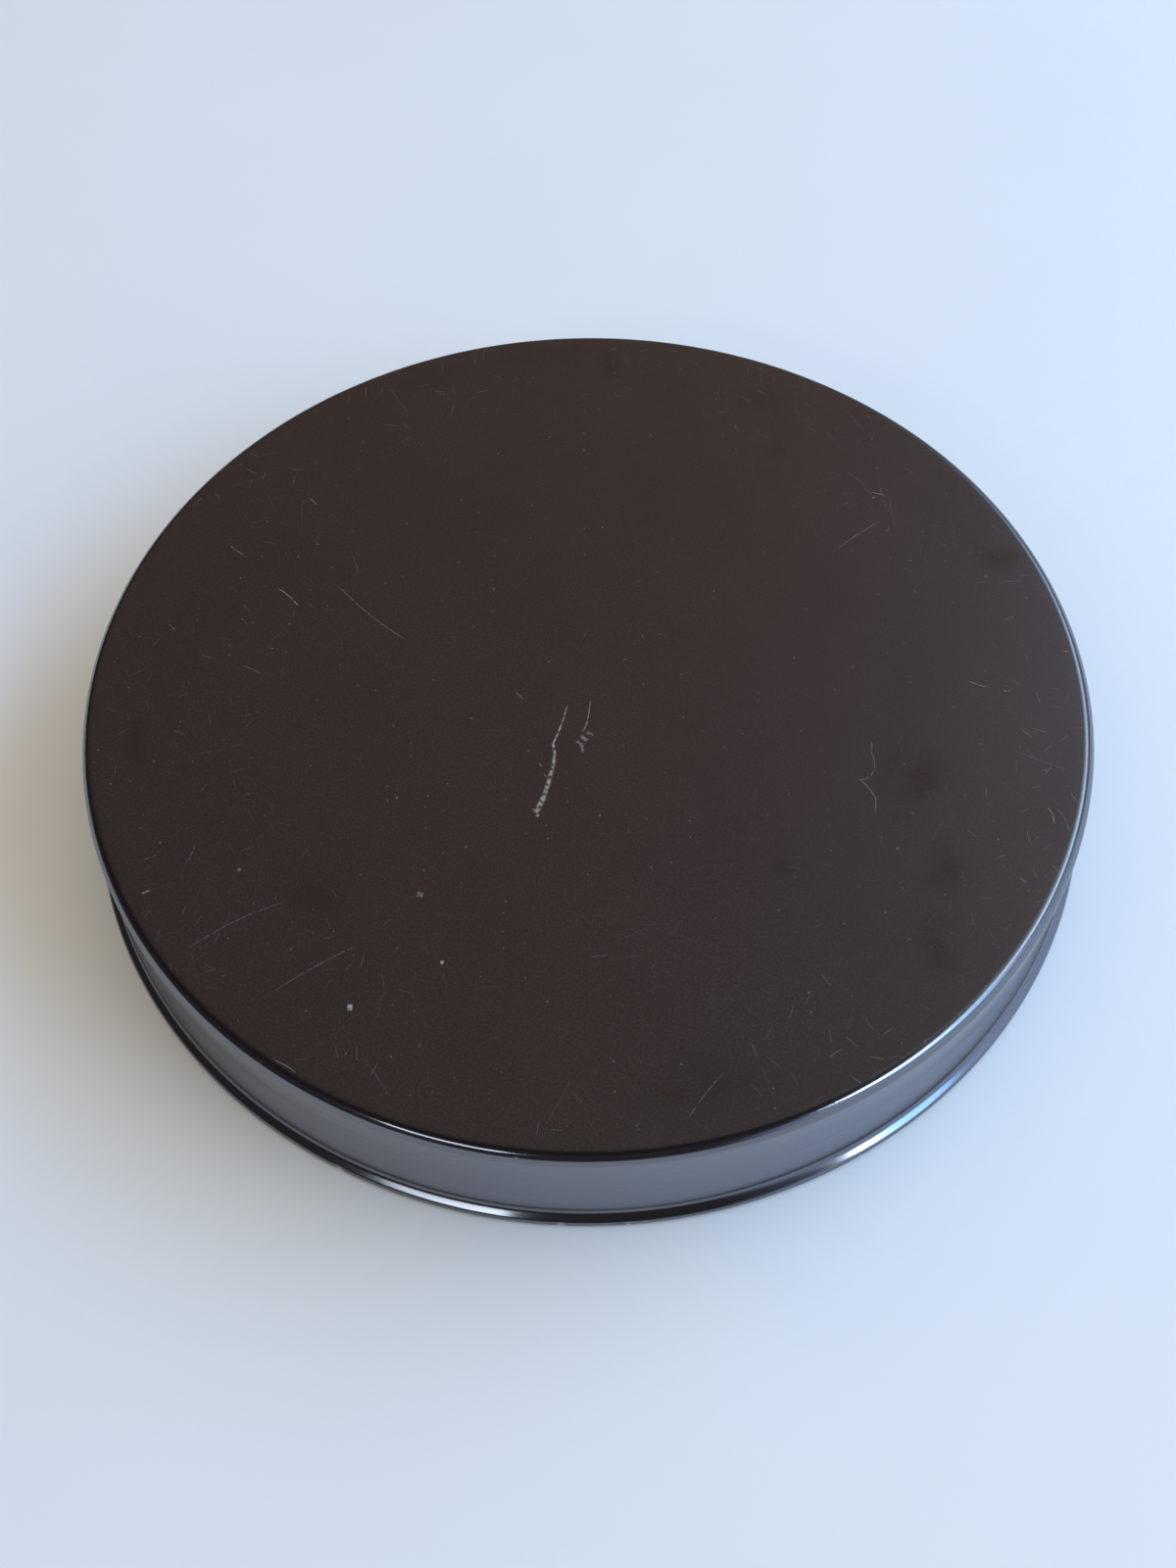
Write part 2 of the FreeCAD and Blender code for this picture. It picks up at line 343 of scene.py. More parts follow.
def on_lid(pixel):
    """Where a pixel of the photograph falls on the lid's flat top, as millimetres across and back."""
    across = (pixel[0] - photo_width / 2) / focal_length
    up = (photo_height / 2 - pixel[1]) / focal_length
    start = camera.matrix_world.translation / MM
    ray = camera.matrix_world.to_3x3() @ Vector((across, up, -1))
    hit = start + ray * ((lid_top - start.z) / ray.z)
    return Vector((hit.x, hit.y))


def area_light(name, azimuth, elevation, size, power, colour):
    """A rectangular light, its size in metres, that points at the can from a direction in degrees."""
    turn, rise = math.radians(azimuth), math.radians(elevation)
    away = Vector((math.cos(turn) * math.cos(rise), math.sin(turn) * math.cos(rise), math.sin(rise)))
    light = bpy.data.lights.new(name, "AREA")
    light.shape = "RECTANGLE"
    light.size, light.size_y = size
    light.energy = power
    light.color = colour
    lamp = placed(name, light)
    lamp.location = away * lamp_distance
    lamp.rotation_mode = "QUATERNION"
    lamp.rotation_quaternion = away.to_track_quat("Z", "Y")
    return lamp


def make_lights():
    """The window's sky and garden on the right, a smaller window at the front left, and a bright cloud
    that only the gloss shows. The gloss mirrors the room's garden instead of the lamp's."""
    area_light("sky", azimuth=8, elevation=36, size=(4.5, 0.85), power=74, colour=(0.25, 0.53, 1.0))
    garden = area_light("garden", azimuth=8, elevation=13, size=(4.5, 0.7), power=36,
                        colour=(0.62, 0.92, 1.0))
    garden.visible_glossy = False
    area_light("far_window", azimuth=-116, elevation=33, size=(0.8, 0.26), power=4.0,
               colour=(0.85, 0.93, 1.0))
    bright_cloud = area_light("bright_cloud", azimuth=2, elevation=40, size=(4.0, 0.5), power=86,
                              colour=(0.80, 0.89, 1.0))
    bright_cloud.visible_diffuse = False


def make_room():
    """The room as a soft warm light, a darker one that the gloss mirrors, and a pale backdrop."""
    world = bpy.data.worlds.new("room")
    world.use_nodes = True
    bpy.context.scene.world = world
    tree = Tree(world.node_tree)
    direction = tree.wire(tree.node("TexCoord", {}), "Generated")
    right, away, height = tree.split(direction)
    to_dark = tree.wire(
        tree.node("VectorMath", {0: direction, 1: dark_direction}, operation="DOT_PRODUCT"), "Value")
    front_ceiling = height.smooth(0.45, 0.8) * away.smooth(0.5, 0.2)
    fill = tree.mixed(height.smooth(0.35, 0.75), fill_walls, fill_upper)
    fill = tree.mixed(front_ceiling, fill, fill_ceiling)
    fill = tree.mixed(to_dark.smooth(0.72, 0.93), fill, room_dark)
    back_wall = away.smooth(0.2, 0.45) * height.smooth(0.2, 0.45)
    overhead = height.smooth(0.90, 0.97) * away.smooth(-0.25, 0.0)
    outdoors = right.smooth(0.30, 0.70) * height.smooth(0.55, 0.40)
    back = tree.mixed(right.smooth(-0.5, 0.2), mirrored_back_left, mirrored_back)
    mirrored = tree.mixed(back_wall, room_dark, back)
    mirrored = tree.mixed(overhead, mirrored, mirrored_ceiling)
    mirrored = tree.mixed(outdoors, mirrored, mirrored_garden)
    ray = tree.node("LightPath", {})
    colour = tree.mixed(tree.wire(ray, "Is Glossy Ray"), fill, mirrored)
    colour = tree.mixed(tree.wire(ray, "Is Camera Ray"), colour, backdrop)
    shader = tree.node("Background", {"Color": colour, "Strength": 1.0})
    tree.node("OutputWorld", {"Surface": tree.wire(shader)})


def make_floor():
    """A plain pale table top."""
    def paint(tree):
        place = tree.place()
        cloud = tree.noise(place, size=60, detail=3)
        grain = tree.noise(place, size=0.6, detail=2)
        return {
            "Base Color": tree.mixed(cloud, table_dim, table_bright),
            "Roughness": tree.ranged(cloud, 0.3, 0.7, 0.55, 0.65),
            "IOR": table_index,
            "Normal": tree.bump(grain, depth=0.01, strength=0.3),
        }

    half = table_side / 2
    mesh = bpy.data.meshes.new("table_top")
    square = [(-half, -half, 0), (half, -half, 0), (half, half, 0), (-half, half, 0)]
    mesh.from_pydata(square, [], [(0, 1, 2, 3)])
    mesh.materials.append(painted("table_top", paint))
    placed("table_top", mesh)


def straight(start, end, steps):
    """Points of a straight stretch of a profile, both ends included."""
    a, b = Vector(start), Vector(end)
    return [tuple(a.lerp(b, index / steps)) for index in range(steps + 1)]


def arc(centre, radius, first, last, steps):
    """Points of a round stretch of a profile; at 0 degrees it points outward, and at 90 up."""
    points = []
    for index in range(steps + 1):
        angle = math.radians(first + (last - first) * index / steps)
        points.append((centre[0] + radius * math.cos(angle), centre[1] + radius * math.sin(angle)))
    return points


def without_repeats(profile):
    kept = [profile[0]]
    for point in profile[1:]:
        if (Vector(point) - Vector(kept[-1])).length > TINY:
            kept.append(point)
    if (Vector(kept[0]) - Vector(kept[-1])).length < TINY:
        kept.pop()
    return kept


def make_mesh(name, points, faces, sharp_angle):
    """A smooth-shaded object from points in millimetres. Edges over sharp_angle degrees stay sharp."""
    mesh = bpy.data.meshes.new(name)
    mesh.from_pydata([Vector(point) * MM for point in points], [], faces)
    mesh.update()
    mesh.shade_smooth()
    mesh.set_sharp_from_angle(angle=math.radians(sharp_angle))
    return placed(name, mesh)


def lathe(name, profile, segments, shaped=None, sharp_angle=35):
    """Turns a closed profile of (radius, height) round Z. shaped(point) may move each point a little."""
    rings, points = [], []
    for radius, height in without_repeats(profile):
        if radius < TINY:
            rings.append([len(points)] * segments)
            points.append(Vector((0, 0, height)))
            continue
        rings.append(list(range(len(points), len(points) + segments)))
        for index in range(segments):
            angle = 2 * math.pi * index / segments
            points.append(Vector((radius * math.cos(angle), radius * math.sin(angle), height)))
    if shaped:
        points = [shaped(point) for point in points]
    faces = []
    on_axis = [len(set(ring)) == 1 for ring in rings]
    for level, ring in enumerate(rings):
        below = (level + 1) % len(rings)
        if on_axis[level] and on_axis[below]:
            continue
        for index in range(segments):
            following = (index + 1) % segments
            corner = [ring[index], rings[below][index], rings[below][following], ring[following]]
            faces.append(list(dict.fromkeys(corner)))
    return make_mesh(name, points, faces, sharp_angle)


def shown(piece, body, slot, *nodes):
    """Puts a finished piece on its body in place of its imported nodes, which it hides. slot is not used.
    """
    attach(piece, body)
    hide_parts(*nodes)


# Small damage along the lid's rim and edge: pits whose middles are on the section, at an azimuth in
# degrees. A pit's size is its radius.
Chip = namedtuple("Chip", "azimuth radius height size depth")

rim_chips = [
    Chip(-93.3, 97.7, 0.9, 0.8, 0.40),
    Chip(-89.2, 97.3, 2.3, 0.35, 0.15),
    Chip(-86.6, 97.7, 1.0, 0.6, 0.30),
    Chip(-84.9, 97.7, 1.1, 0.4, 0.20),
    Chip(-116.5, 97.7, 0.8, 1.0, 0.35),
    Chip(-62.0, 97.7, 1.0, 0.5, 0.25),
    Chip(38.0, 97.7, 0.9, 0.9, 0.40),
    Chip(151.0, 97.7, 1.2, 0.7, 0.35),
    Chip(-97.2, 94.4, 23.9, 0.35, 0.12),
    Chip(-85.8, 94.6, 23.4, 0.3, 0.10),
]
chip_raggedness = 0.6
chip_grain = 1.7  # how fast the raggedness changes along a millimetre
warp_depth = 0.05  # how far the moulding leaves its true shape
warp_size = 24.0


def leaning(length, degrees):
    """A step outward in a section that climbs by an angle."""
    angle = math.radians(degrees)
    return Vector((length * math.cos(angle), length * math.sin(angle)))


def lid_profile():
    """The lid's section from the top's centre, round the outside and back along the inside."""
    edge_centre = lid_radius - lid_edge_radius
    edge_level = lid_top - lid_edge_radius
    corner_centre = skirt_bore - lid_corner_radius
    corner_level = lid_underside - lid_corner_radius
    corner = rim_radius - rim_corner
    bottom = rim_bottom
    roll_centre = Vector((rim_radius - rim_roll_radius, roll_level))
    roll_start = roll_centre + leaning(rim_roll_radius, rim_tilt)
    slope_start = roll_start + leaning(rim_slope_length, rim_tilt + 90)
    hollow_centre = slope_start + leaning(rim_hollow_radius, rim_tilt)
    hollow_start = hollow_centre - leaning(rim_hollow_radius, flare_tilt)
    flare_radius = (hollow_start.x - lid_radius) / (1 - math.cos(math.radians(flare_tilt)))
    flare_centre = hollow_start + leaning(flare_radius, flare_tilt)
    profile = straight((0, lid_top), (edge_centre, lid_top), 48)
    profile += arc((edge_centre, edge_level), lid_edge_radius, 90, 0, 20)
    profile += straight((lid_radius, edge_level), (lid_radius, flare_centre.y), 10)
    profile += arc(flare_centre, flare_radius, 180, 180 + flare_tilt, 12)
    profile += arc(hollow_centre, rim_hollow_radius, 180 + flare_tilt, 180 + rim_tilt, 10)
    profile += straight(slope_start, roll_start, 6)
    profile += arc(roll_centre, rim_roll_radius, rim_tilt, 0, 14)
    profile += straight((rim_radius, roll_centre.y), (rim_radius, bottom + rim_corner), 4)
    profile += arc((corner, bottom + rim_corner), rim_corner, 0, -90, 4)
    profile += straight((corner, bottom), (skirt_bore + skirt_lead_in, bottom), 6)
    profile += straight((skirt_bore, bottom + skirt_lead_in), (skirt_bore, corner_level), 12)
    profile += arc((corner_centre, corner_level), lid_corner_radius, 0, 90, 6)
    profile += straight((corner_centre, lid_underside), (0, lid_underside), 40)
    return profile


def tray_profile():
    """The tray's section from the floor's centre, up the inside and back under the foot."""
    foot_inner = tray_radius - tray_foot_radius - tray_foot_width
    lip_centre = tray_radius - tray_lip_radius
    lip_level = tray_high.z - tray_lip_radius
    floor_end = tray_bore - tray_corner_radius
    corner_level = tray_floor_top + tray_corner_radius
    profile = straight((0, tray_floor_top), (floor_end, tray_floor_top), 40)
    profile += arc((floor_end, corner_level), tray_corner_radius, -90, 0, 8)
    profile += straight((tray_bore, corner_level), (tray_bore, tray_high.z - tray_lip_bevel), 12)
    profile += straight((tray_bore + tray_lip_bevel, tray_high.z), (lip_centre, tray_high.z), 3)
    profile += arc((lip_centre, lip_level), tray_lip_radius, 90, 0, 8)
    profile += straight((tray_radius, lip_level), (tray_radius, tray_foot_radius), 12)
    profile += arc((tray_radius - tray_foot_radius, tray_foot_radius), tray_foot_radius, 0, -90, 8)
    profile += straight((tray_radius - tray_foot_radius, 0), (foot_inner, 0), 6)
    profile += straight((foot_inner - tray_foot, tray_foot), (0, tray_foot), 40)
    return profile


def warped(point):
    """Moves a point of the moulding inward by a few hundredths, in slow waves."""
    outward = Vector((point.x, point.y, 0))
    if outward.length < lid_radius - lid_edge_radius:
        return point
    wave = 0.5 + 0.5 * noise.noise(point / warp_size)
    return point - outward.normalized() * warp_depth * wave


def chipped(piece, chips):
    """Presses each chip into the mesh and records how deep it is there, for the material."""
    mesh = piece.data
    depth_there = mesh.attributes.new("chip", "FLOAT", "POINT")
    vertices = KDTree(len(mesh.vertices))
    for vertex in mesh.vertices:
        vertices.insert(vertex.co, vertex.index)
    vertices.balance()
    for chip in chips:
        angle = math.radians(chip.azimuth)
        outward = Vector((math.cos(angle), math.sin(angle), 0))
        centre = outward * chip.radius + Vector((0, 0, chip.height))
        for _, index, distance in vertices.find_range(centre * MM, chip.size * MM):
            vertex = mesh.vertices[index]
            ragged = 1 + chip_raggedness * noise.noise(vertex.co / MM * chip_grain)
            pit = max(0.0, 1 - (distance / MM / chip.size) ** 2) * ragged
            vertex.co -= outward * min(pit, 1.0) * chip.depth * MM
            depth_there.data[index].value = min(1.0, pit)


def make_lid():
    lid = lathe("lid_shell", lid_profile(), can_segments, warped)
    chipped(lid, rim_chips)
    lid.data.materials.append(lid_side_resin())
    lid.data.materials.append(lid_top_resin())
    top_radius = lid_radius - lid_edge_radius / 2
    top_level = lid_top - lid_edge_radius / 2
    for face in lid.data.polygons:
        centre = face.center / MM
        if centre.z > top_level and centre.xy.length < top_radius:
            face.material_index = 1
    lay_scratches(lid.data, scratches + centre_scuff + squiggle + specks)
    lay_stains(lid.data, stains)
    shown(lid, "can_lid", "lid_resin", "lid")


def make_tray():
    tray = lathe("tray_shell", tray_profile(), can_segments)
    tray.data.materials.append(tray_resin())
    shown(tray, "can_base", "tray_resin", "base_tray")


# Marks on the lid's top, by the pixels of the photograph where each starts and ends, or has its middle.
# Bends, widths and a spot's two half sizes are in millimetres, and its turn in degrees.
Scratch = namedtuple("Scratch", "start end bend width paleness")
Spot = namedtuple("Spot", "centre across back turn strength")

scratches = [
    Scratch((283, 600), (305, 619), 0.3, 0.24, 0.75),
    Scratch((235, 557), (249, 567), 0.0, 0.22, 0.5),
    Scratch((343, 595), (418, 655), -0.8, 0.17, 0.42),
    Scratch((359, 565), (366, 588), 0.2, 0.15, 0.2),
    Scratch((316, 509), (323, 515), 0.1, 0.22, 0.6),
    Scratch((173, 637), (179, 643), 0.0, 0.22, 0.5),
    Scratch((272, 660), (280, 662), 0.0, 0.24, 0.6),
    Scratch((245, 679), (268, 688), 0.2, 0.16, 0.35),
    Scratch((183, 974), (294, 919), 1.0, 0.18, 0.26),
    Scratch((276, 1014), (366, 964), 0.4, 0.20, 0.26),
    Scratch((278, 1081), (304, 1096), 0.2, 0.18, 0.5),
    Scratch((199, 860), (188, 883), 0.3, 0.22, 0.22),
    Scratch((145, 878), (161, 872), 0.0, 0.20, 0.25),
    Scratch((144, 912), (154, 908), 0.0, 0.60, 0.35),
    Scratch((901, 530), (849, 564), -0.3, 0.17, 0.42),
    Scratch((889, 502), (901, 505), 0.0, 0.20, 0.7),
    Scratch((864, 482), (884, 497), 0.2, 0.15, 0.25),
    Scratch((864, 419), (881, 438), -0.2, 0.15, 0.25),
    Scratch((1017, 595), (1046, 593), 0.2, 0.17, 0.28),
    Scratch((987, 694), (1007, 701), -0.2, 0.20, 0.7),
    Scratch((1024, 705), (1030, 705), 0.0, 0.24, 0.7),
    Scratch((1024, 633), (1031, 630), 0.0, 0.20, 0.4),
    Scratch((1068, 823), (1075, 841), 0.5, 0.22, 0.6),
    Scratch((1077, 824), (1092, 852), 0.6, 0.14, 0.4),
    Scratch((1085, 664), (1090, 665), 0.0, 0.24, 0.6),
    Scratch((701, 1144), (740, 1093), 0.3, 0.20, 0.24),
    Scratch((602, 977), (622, 974), 0.0, 0.18, 0.24),
    Scratch((1040, 896), (1048, 900), 0.0, 0.20, 0.45),
]

drawn_overlap = 0.15  # how far a piece runs on past its turns, as a share of its length
drawn_bend = 0.1


def drawn(turns, first_width, last_width, paleness):
    """Scratches from each turn to the next, whose widths go evenly from the first to the last."""
    pieces = len(turns) - 1
    marks = []
    for index in range(pieces):
        first, second = Vector(turns[index]), Vector(turns[index + 1])
        overlap = (second - first) * drawn_overlap
        width = first_width + (last_width - first_width) * index / (pieces - 1)
        marks.append(Scratch(tuple(first - overlap), tuple(second + overlap), drawn_bend, width, paleness))
    return marks


centre_scuff = drawn([(578, 722), (572, 741), (564, 759), (566, 771), (562, 789), (555, 812), (547, 828)],
                     0.28, 1.25, 0.85)
centre_scuff += drawn([(602, 717), (599, 736), (595, 746)], 0.26, 0.36, 0.6)
centre_scuff += [
    Scratch((543, 826), (553, 826), 0.0, 0.40, 0.8),
    Scratch((547, 831), (550, 833), 0.0, 0.80, 0.8),
    Scratch((599, 747), (605, 751), 0.0, 1.00, 0.40),
    Scratch((592, 751), (600, 756), 0.0, 1.10, 0.45),
    Scratch((588, 756), (594, 760), 0.0, 0.70, 0.40),
    Scratch((593, 757), (595, 768), 0.0, 0.80, 0.40),
    Scratch((526, 706), (534, 713), 0.0, 0.25, 0.35),
    Scratch((550, 779), (553, 782), 0.0, 0.35, 0.4),
    Scratch((555, 790), (558, 793), 0.0, 0.35, 0.4),
    Scratch((611, 832), (613, 832), 0.0, 0.45, 0.5),
]
squiggle = drawn([(889, 756), (889, 767), (892, 778), (892, 784), (888, 792), (878, 796),
                  (886, 804), (893, 814), (893, 828)], 0.19, 0.19, 0.42)
stains = [
    Spot((621, 372), 3.6, 6.0, 10, 0.85),
    Spot((560, 362), 17, 5.0, 0, 0.45),
    Spot((432, 384), 9.0, 5.5, 20, 0.55),
    Spot((775, 405), 9.0, 8.0, 0, 0.45),
    Spot((793, 457), 4.0, 4.2, 0, 0.6),
    Spot((1022, 568), 9.5, 8.0, -35, 0.55),
    Spot((138, 757), 4.0, 8.5, 10, 0.6),
    Spot((318, 915), 10.0, 5.0, -8, 0.6),
    Spot((940, 790), 10.0, 10.0, 0, 0.65),
    Spot((969, 887), 7.0, 8.0, 20, 0.6),
    Spot((962, 972), 9.0, 9.0, 0, 0.6),
    Spot((752, 845), 2.6, 2.4, 0, 0.55),
    Spot((778, 832), 2.6, 2.4, 0, 0.55),
    Spot((800, 886), 2.6, 2.8, 0, 0.6),
    Spot((690, 735), 10.0, 8.0, -40, 0.25),
    Spot((722, 1108), 14.0, 5.0, 5, 0.35),
]
specks = [
    Scratch((354, 1028), (360, 1028), 0.0, 1.5, 1.0),
    Scratch((449, 982), (453, 982), 0.0, 0.9, 0.9),
    Scratch((425, 912), (432, 914), 0.0, 1.3, 0.4),
    Scratch((426, 1067), (430, 1066), 0.0, 1.0, 0.35),
    Scratch((242, 888), (246, 887), 0.0, 1.0, 0.3),
    Scratch((890, 508), (892, 508), 0.0, 0.6, 0.7),
    Scratch((404, 814), (406, 814), 0.0, 0.6, 0.5),
    Scratch((847, 868), (849, 868), 0.0, 0.5, 0.5),
    Scratch((915, 866), (917, 866), 0.0, 0.6, 0.45),
]
# Mesh attributes that carry scratches: a pair for each scratch that may cross a face
scratch_layers = [("scratch_place_%d" % layer, "scratch_look_%d" % layer) for layer in range(3)]
scratch_search = 2.0  # a face that a scratch crosses has its centre this near to it
arch_per_bend = 4  # because share * (1 - share) is a quarter at most
least_width = 0.001  # keeps a division whole where no scratch lies

# Fine marks between the measured ones
hairline_angles = 19.0  # radians; about three turns, so that every direction comes up
hairline_curve = 0.12
hairline_reach = 0.45  # of its cell
hairline_shift = 40.0  # keeps the longer hairlines off the fine ones' cells
dust_cell = 3.6

# Wear, and the painted reflection of the table on the lid's skirt, as heights where each begins and is full
wear_heights = (lid_top - 2.2, lid_top - 0.6)
low_painted_reflection_heights = (3.6, 5.0)
high_painted_reflection_heights = (lid_top - 2.2, lid_top - 3.0)


def faces_along(faces, start, run, arch):
    """The faces near a scratch, found at points about a millimetre apart on its arch."""
    near = set()
    steps = math.ceil(run.length)
    for step in range(steps + 1):
        share = step / steps
        middle = start + run * share + arch * share * (1 - share)
        centre = Vector((middle.x, middle.y, lid_top)) * MM
        near.update(index for _, index, _ in faces.find_range(centre, scratch_search * MM))
    return sorted(near)


def corner_places(mesh, index, start, along, across, length):
    """Where a face's corners are: each one's share of the way along a scratch, and how far aside."""
    places = {}
    for corner in mesh.polygons[index].loop_indices:
        offset = mesh.vertices[mesh.loops[corner].vertex_index].co.xy / MM - start
        places[corner] = (offset.dot(along) / length, offset.dot(across), 0)
    return places


def crossed(places, arch, half_width):
    """Whether a scratch of that arch and half width crosses a face whose corners have these places."""
    shares = [place[0] for place in places]
    aside = [place[1] - arch * place[0] * (1 - place[0]) for place in places]
    in_length = max(shares) >= 0 and min(shares) <= 1
    return in_length and max(aside) >= -half_width and min(aside) <= half_width


def lay_scratches(mesh, marks):
    """Gives each face that a scratch crosses the scratch's own coordinates, for the material to draw.
    A face whose layers are all in use takes no more."""
    faces = KDTree(len(mesh.polygons))
    for face in mesh.polygons:
        faces.insert(face.center, face.index)
    faces.balance()
    for names in scratch_layers:
        for name in names:
            mesh.attributes.new(name, "FLOAT_VECTOR", "CORNER")
    layers = [[mesh.attributes[name].data for name in names] for names in scratch_layers]
    layers_used = [0] * len(mesh.polygons)
    for mark in marks:
        start, end = on_lid(mark.start), on_lid(mark.end)
        run = end - start
        along = run.normalized()
        across = Vector((-along.y, along.x))
        arch, half_width = mark.bend * arch_per_bend, mark.width / 2
        for index in faces_along(faces, start, run, across * arch):
            places = corner_places(mesh, index, start, along, across, run.length)
            if layers_used[index] == len(layers) or not crossed(places.values(), arch, half_width):
                continue
            place_layer, look_layer = layers[layers_used[index]]
            layers_used[index] += 1
            for corner, place in places.items():
                place_layer[corner].vector = place
                look_layer[corner].vector = (half_width, arch, mark.paleness)


def lay_stains(mesh, spots):
    """Records at each vertex how near it is to a stain's middle, and how strong that stain is."""
    stain = mesh.attributes.new("stain", "FLOAT_VECTOR", "POINT")
    places = [(on_lid(spot.centre), math.radians(spot.turn), spot) for spot in spots]
    for vertex in mesh.vertices:
        if vertex.co.z < (lid_top - lid_edge_radius) * MM:
            continue
        best = (-1.0, 0.0)
        for centre, turn, spot in places:
            offset = vertex.co.xy / MM - centre
            if offset.length > 2 * max(spot.across, spot.back):
                continue
            offset.rotate(Matrix.Rotation(-turn, 2))
            away = Vector((offset.x / spot.across, offset.y / spot.back)).length
            best = max(best, (1 - away, spot.strength))
        stain.data[vertex.index].vector = (best[0], best[1], 0)


def stroke_group():
    """Shader group for one scratch: Place runs from 0 to 1 along it, and is in millimetres across it."""
    group, tree, wires = shader_group("stroke", {"Place": "Vector", "Look": "Vector"}, {"Cover": "Float"})
    along, across, _ = tree.split(wires[0])
    half_width, arch, paleness = tree.split(wires[1])
    rise = (along * (1.0 - along)).most(0.0)
    aside = abs(across - arch * rise) / half_width.most(least_width)
    close_group(tree, {"Cover": aside.smooth(1.0, 0.25) * rise.smooth(0.0, 0.16) * paleness})
    return group


def hairline_group():
    """Shader group for many short scratches, one in some of the cells, each with its own direction."""
    inputs = {"Place": "Vector", "Cell": "Float", "Width": "Float", "Share": "Float"}
    group, tree, wires = shader_group("hairlines", inputs, {"Cover": "Float"})
    place, cell, width, share = wires
    flat = tree.stretched(place, (1, 1, 0))
    cells = tree.cells(flat, cell)
    chance, turn, dim = tree.split(tree.wire(cells, "Color"))
    offset = tree.difference(flat, tree.wire(cells, "Position"))
    rotation = {"Vector": offset, "Angle": turn * hairline_angles}
    turned = tree.node("VectorRotate", rotation, rotation_type="Z_AXIS")
    along, across, _ = tree.split(tree.wire(turned))
    curve = along * along * (dim - 0.5) * hairline_curve / cell
    line = (abs(across - curve) / width).smooth(1.0, 0.3)
    reach = (abs(along) / (cell * hairline_reach)).smooth(1.0, 0.6)
    paleness = dim * 0.8 + 0.2
    close_group(tree, {"Cover": line * reach * chance.below(share) * paleness})
    return group


def grouped(tree, group, inputs):
    """The output of a shader group that is fed these inputs."""
    return tree.wire(tree.node("Group", inputs, node_tree=group))


def hairlines(tree, place, cell, width, share):
    """Short scratches of a width in millimetres, in that share of cells of that size."""
    return grouped(tree, hairline, {"Place": place, "Cell": cell, "Width": width, "Share": share})


def scratch_cover(tree):
    """How strongly the scratches laid on the mesh cover each point."""
    covers = []
    for place, look in scratch_layers:
        covers.append(grouped(tree, stroke, {"Place": tree.carried(place), "Look": tree.carried(look)}))
    total = covers[0]
    for cover in covers[1:]:
        total = total.most(cover)
    return total


def from_axis(x, y):
    """Distance from the can's axis."""
    return (x * x + y * y) ** 0.5


def ringed(tree, x, y, circle):
    """A place whose noise makes rings round the axis, broken along a circle of that radius."""
    radius = from_axis(x, y)
    return tree.join(x / radius * circle, y / radius * circle, radius)


def stain_cover(tree, cloud, mottle):
    """How strongly the stains laid on the mesh cover each point, with ragged borders."""
    nearness, strength, _ = tree.split(tree.carried("stain"))
    ragged = (cloud - 0.5) * 1.1 + (mottle - 0.5) * 1.4
    return (nearness - ragged).smooth(0.0, 1.0) * strength


def pale_marks(tree, x, y):
    """How pale scratches, hairlines and dust make each point of the lid's top."""
    flat = tree.join(x, y, 0.0)
    breaks = tree.noise(flat, size=0.9, detail=2).smooth(0.30, 0.55)
    busy = from_axis(x, y).smooth(40, 92) * tree.noise(flat, size=30, detail=2).smooth(0.4, 0.65)
    fine = hairlines(tree, flat, cell=3.2, width=0.05, share=0.35) * (busy * 0.5 + 0.04)
    shifted = tree.join(x + hairline_shift, y, 0.0)
    longer = hairlines(tree, shifted, cell=11.0, width=0.045, share=0.5) * (busy * 0.3 + 0.04)
    dust = tree.cells(flat, dust_cell)
    size = tree.split(tree.wire(dust, "Color"))[0]
    dot_radius = size ** 6 * 0.26 + 0.015
    dots = (tree.wire(dust, "Distance") * dust_cell / dot_radius).smooth(1.0, 0.5) * 0.2
    return (scratch_cover(tree) * breaks).most(fine).most(longer).most(dots)


def lid_top_resin():
    """The lid's top: moulded resin worn to a brown satin, with its stains, scratches and specks."""
    def paint(tree):
        x, y, z = tree.split(tree.place())
        flat = tree.join(x, y, 0.0)
        cloud = tree.noise(flat, size=26, detail=4, roughness=0.6)
        mottle = tree.noise(flat, size=5, detail=3, roughness=0.6)
        grain = tree.noise(flat, size=0.45, detail=3, roughness=0.7)
        on_flat = z.smooth(lid_top - 0.2, lid_top - 0.03)
        worn = on_flat * (1.0 - stain_cover(tree, cloud, mottle) * 0.6)
        worn = worn * (tree.ranged(cloud, 0.3, 0.7, 0.86, 1.08) + (mottle - 0.5) * 0.12)
        pale = pale_marks(tree, x, y) * on_flat
        colour = tree.mixed(worn, resin_skin, resin_worn)
        colour = tree.mixed(tree.ranged(grain, 0.35, 0.75, 0.0, 0.35) * worn, colour, resin_grain)
        height = grain * 0.25 + cloud - pale * 0.6
        return {
            "Base Color": tree.mixed(pale, colour, resin_pale),
            "Roughness": tree.ranged(worn, 0.0, 1.0, 0.16, 0.34) + (grain - 0.5) * 0.08 + pale * 0.1,
            "IOR": satin_index,
            "Normal": tree.bump(height, depth=0.02, strength=0.6),
        }
    return painted("lid_top_resin", paint)


